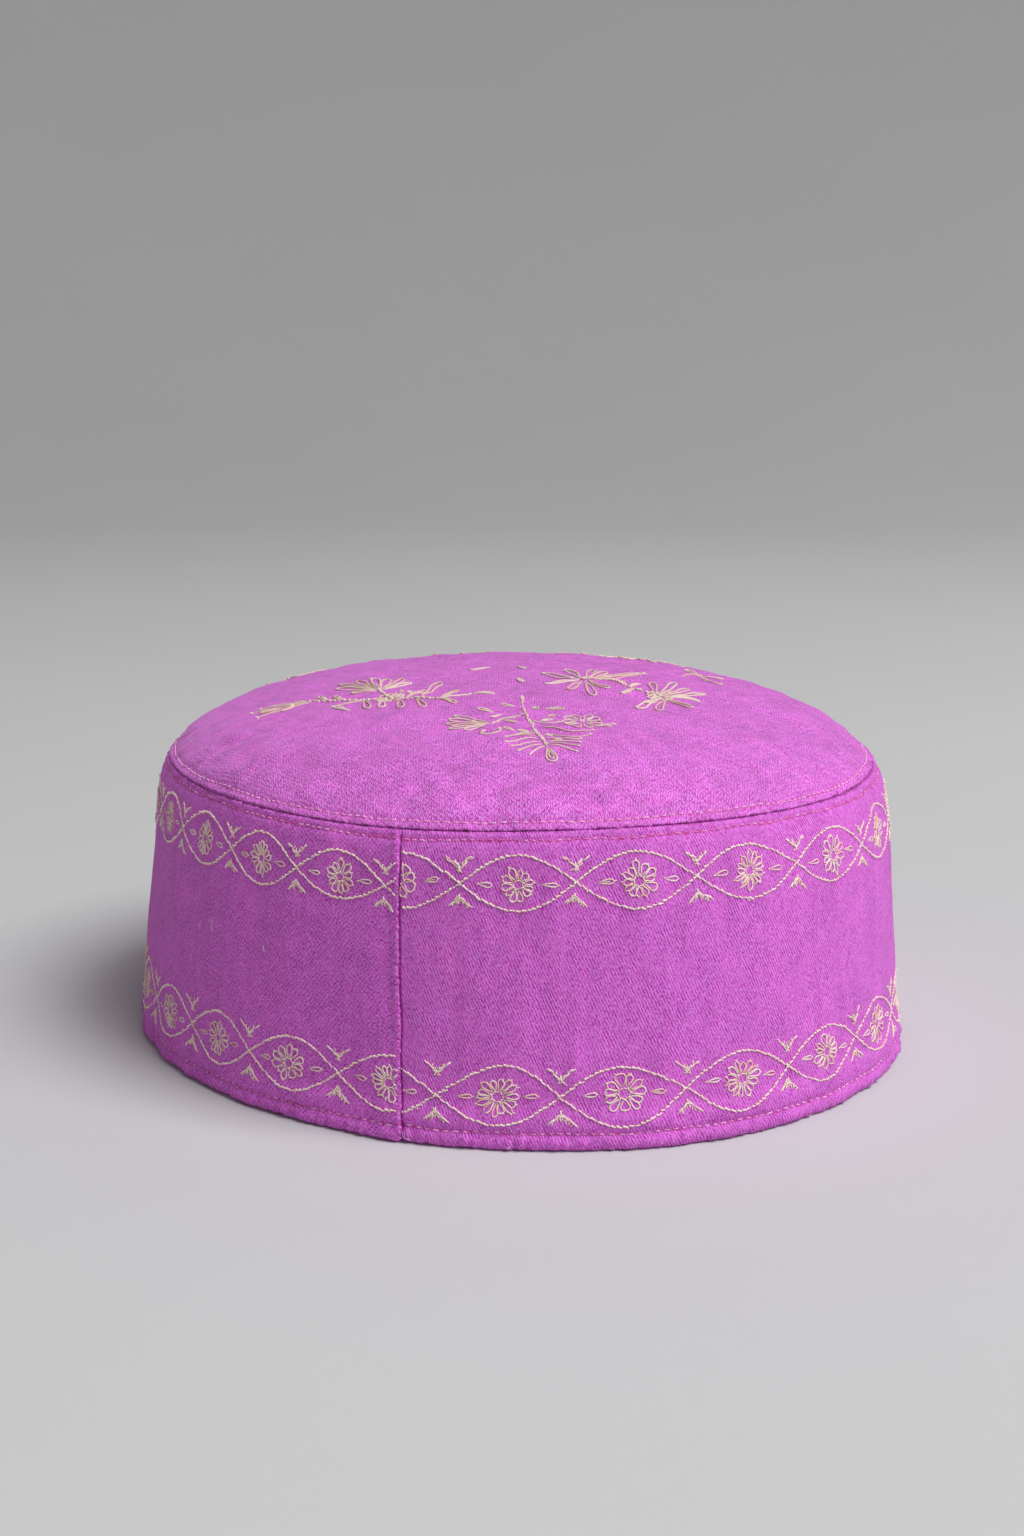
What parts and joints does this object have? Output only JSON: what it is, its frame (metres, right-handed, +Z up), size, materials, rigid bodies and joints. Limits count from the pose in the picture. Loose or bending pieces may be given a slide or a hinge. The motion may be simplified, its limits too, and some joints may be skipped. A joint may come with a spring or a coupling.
{
  "type": "tubeteika skullcap",
  "caption": "Soft oval skullcap with a shallow domed crown panel sewn to a standing embroidered band, resting on its own rim, open below for a head.",
  "frame": {"origin": "middle of the rim, on the surface the cap rests on", "axes": "+Z up through the crown, +Y from the wearer's front to the back along the long axis of the oval, +X across it"},
  "size_m": [0.1771, 0.2018, 0.0825],
  "materials": {
    "band_cloth": "soft heathered twill, orchid magenta, wales running down to the right, slightly fuzzy",
    "crown_cloth": "soft heathered twill, orchid magenta, ribs running front to back, slightly fuzzy",
    "embroidery_thread": "pale straw gold twisted embroidery thread with a soft shine",
    "seam_thread": "rose pink sewing thread, slightly shiny"
  },
  "bodies": {
    "root": {"band": "band_cloth", "crown": "crown_cloth"}
  },
  "joints": []
}
